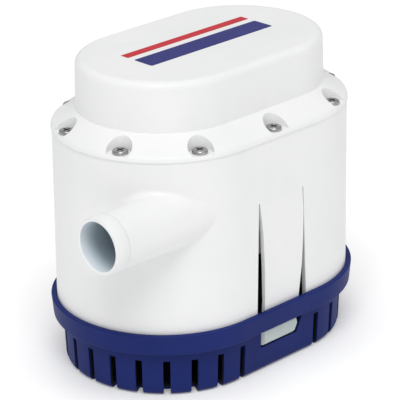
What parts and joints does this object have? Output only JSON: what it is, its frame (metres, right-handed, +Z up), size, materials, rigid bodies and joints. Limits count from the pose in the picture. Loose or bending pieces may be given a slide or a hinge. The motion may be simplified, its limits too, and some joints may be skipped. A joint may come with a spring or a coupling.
{
  "type": "bilge pump",
  "caption": "Submersible automatic bilge pump: clip-on slotted strainer base, oval body with a straight hose spigot, raised motor cover held by screws.",
  "frame": {"origin": "middle of the flat underside of the strainer base", "axes": "+Z up; X along the oval, with the hose spigot pointing to -X; Y across it, with the spigot on the -Y side"},
  "size_m": [0.1959, 0.1198, 0.1638],
  "materials": {
    "white_plastic": "satin moulded ABS",
    "blue_plastic": "satin moulded ABS",
    "black_plastic": "moulded",
    "black_rubber": "matt",
    "stainless_steel": "passivated",
    "plated_steel": "zinc plated",
    "bronze": "sintered",
    "copper": "enamelled and turned copper",
    "ferrite": "ground",
    "carbon": "pressed",
    "float_foam": "closed-cell",
    "glass": "clear",
    "circuit_board": "solder mask"
  },
  "bodies": {
    "housing": {"strainer_base": "blue_plastic", "body_end_spigot": "white_plastic", "body_end_far": "white_plastic", "body_side_front": "white_plastic", "body_side_rear": "white_plastic", "hose_spigot": "white_plastic", "body_rim": "white_plastic", "bulkhead": "white_plastic", "discharge_elbow": "white_plastic", "motor_cover": "white_plastic", "cover_gasket": "black_rubber", "cover_screws": "stainless_steel", "cable_gland": "black_rubber", "volute_casing": "black_plastic", "volute_seal": "black_rubber", "inlet_plate": "black_plastic", "volute_screws": "stainless_steel", "motor_can": "plated_steel", "motor_screws": "stainless_steel", "lower_bearing": "bronze", "upper_bearing": "bronze", "field_magnets": "ferrite", "motor_end_cap": "black_plastic", "motor_terminals": "bronze", "brushes": "carbon", "brush_springs": "stainless_steel", "shaft_seal": "black_rubber", "float_pin": "stainless_steel", "reed_switch": "glass", "control_board": "circuit_board", "board_screws": "stainless_steel", "relay": "black_plastic"},
    "rotor": {"shaft": "stainless_steel", "armature_core": "plated_steel", "armature_windings": "copper", "commutator": "copper", "impeller": "black_plastic", "impeller_clip": "stainless_steel"},
    "float": {"float_body": "float_foam", "float_magnet": "ferrite"},
    "front_latch": {"latch_front": "white_plastic"},
    "rear_latch": {"latch_rear": "white_plastic"}
  },
  "joints": [
    {"name": "rotor_spin", "type": "hinge", "parent": "housing", "child": "rotor", "pos_m": [-0.012, 0.004, 0.048], "axis": [0, 0, 1], "continuous": true},
    {"name": "float_swing", "type": "hinge", "parent": "housing", "child": "float", "pos_m": [0.035, 0, 0.05], "axis": [0, -1, 0], "range_deg": [0, 21]},
    {"name": "front_latch_flex", "type": "hinge", "parent": "housing", "child": "front_latch", "pos_m": [0, -0.0556, 0.0953], "axis": [1, 0, 0], "range_deg": [0, 3.3], "stiffness_Nm_per_rad": 12},
    {"name": "rear_latch_flex", "type": "hinge", "parent": "housing", "child": "rear_latch", "pos_m": [0, 0.0556, 0.0953], "axis": [-1, 0, 0], "range_deg": [0, 3.3], "stiffness_Nm_per_rad": 12}
  ]
}
